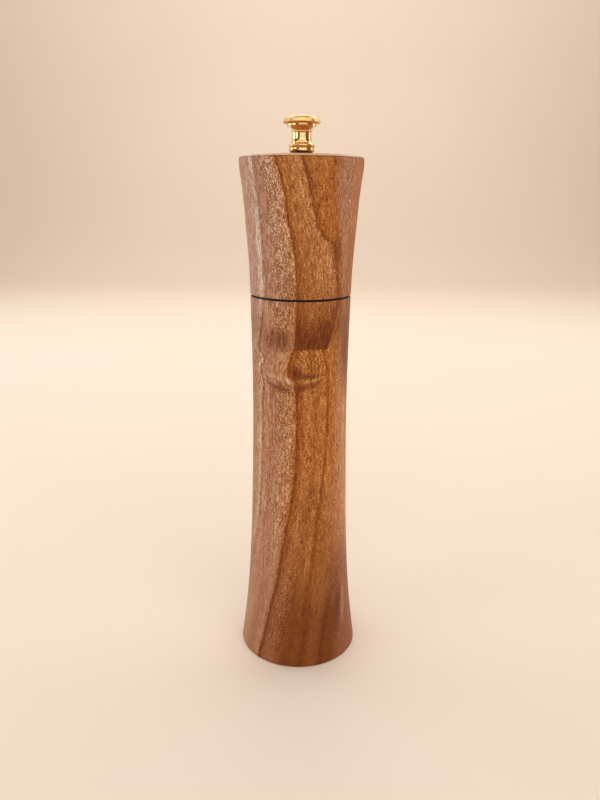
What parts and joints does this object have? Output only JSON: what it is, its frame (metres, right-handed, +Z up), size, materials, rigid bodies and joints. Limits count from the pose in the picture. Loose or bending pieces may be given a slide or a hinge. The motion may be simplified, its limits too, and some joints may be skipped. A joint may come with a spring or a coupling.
{
  "type": "pepper mill",
  "caption": "Turned wooden pepper mill with a waisted body, a flared turning head, a knurled brass finial nut that sets the grind, and a burr mechanism at the foot.",
  "frame": {"origin": "on the mill's axis, in the plane of the foot that it stands on", "axes": "+Z up along the mill's axis, from the foot to the finial; +X along the crossbar under the burrs"},
  "size_m": [0.0616, 0.0616, 0.2714],
  "materials": {
    "polished_brass": "polished and lacquered",
    "black_nylon": "moulded, matt",
    "walnut_head": "figured walnut, oiled and buffed to a soft sheen",
    "plated_steel": "zinc plated",
    "screw_steel": "plated",
    "walnut_body": "figured walnut, oiled and buffed to a soft sheen",
    "shaft_aluminium": "drawn bar",
    "white_nylon": "stamped, matt",
    "spring_steel": "drawn wire and stamped strip",
    "burr_steel": "machined and hardened",
    "bush_brass": "turned"
  },
  "bodies": {
    "base": {"body": "walnut_body", "stator": "burr_steel", "spring_bridge": "plated_steel", "crossbar": "plated_steel", "crossbar_bush": "bush_brass", "crossbar_screws": "screw_steel", "glide_ring": "black_nylon"},
    "drive": {"spring_washer": "white_nylon", "spring": "spring_steel"},
    "spindle": {"shaft": "shaft_aluminium", "rotor": "burr_steel", "thrust_washer": "white_nylon", "rotor_clip": "spring_steel"},
    "head": {"head": "walnut_head", "drive_plate": "plated_steel", "drive_plate_screws": "screw_steel"},
    "nut_washer": {"finial_washer": "black_nylon"},
    "finial": {"finial_nut": "polished_brass"}
  },
  "joints": [
    {"name": "mill_turn", "type": "hinge", "parent": "base", "child": "drive", "pos_m": [0, 0, 0.032], "axis": [0, 0, 1], "continuous": true},
    {"name": "rotor_lift", "type": "slide", "parent": "drive", "child": "spindle", "axis": [0, 0, 1], "range_m": [0, 0.001], "stiffness_N_per_m": 1500, "springref_m": -0.005, "deforming": ["spring"]},
    {"name": "head_lift", "type": "slide", "parent": "drive", "child": "head", "axis": [0, 0, 1], "range_m": [0, 0.1]},
    {"name": "finial_lift", "type": "slide", "parent": "head", "child": "nut_washer", "axis": [0, 0, 1], "range_m": [0, 0.025]},
    {"name": "finial_turn", "type": "hinge", "parent": "nut_washer", "child": "finial", "pos_m": [0, 0, 0.2555], "axis": [0, 0, -1], "range_deg": [0, 450]}
  ],
  "couplings": [
    {"joint": "finial_turn", "follows": "rotor_lift", "rad_per_m": 7854}
  ]
}
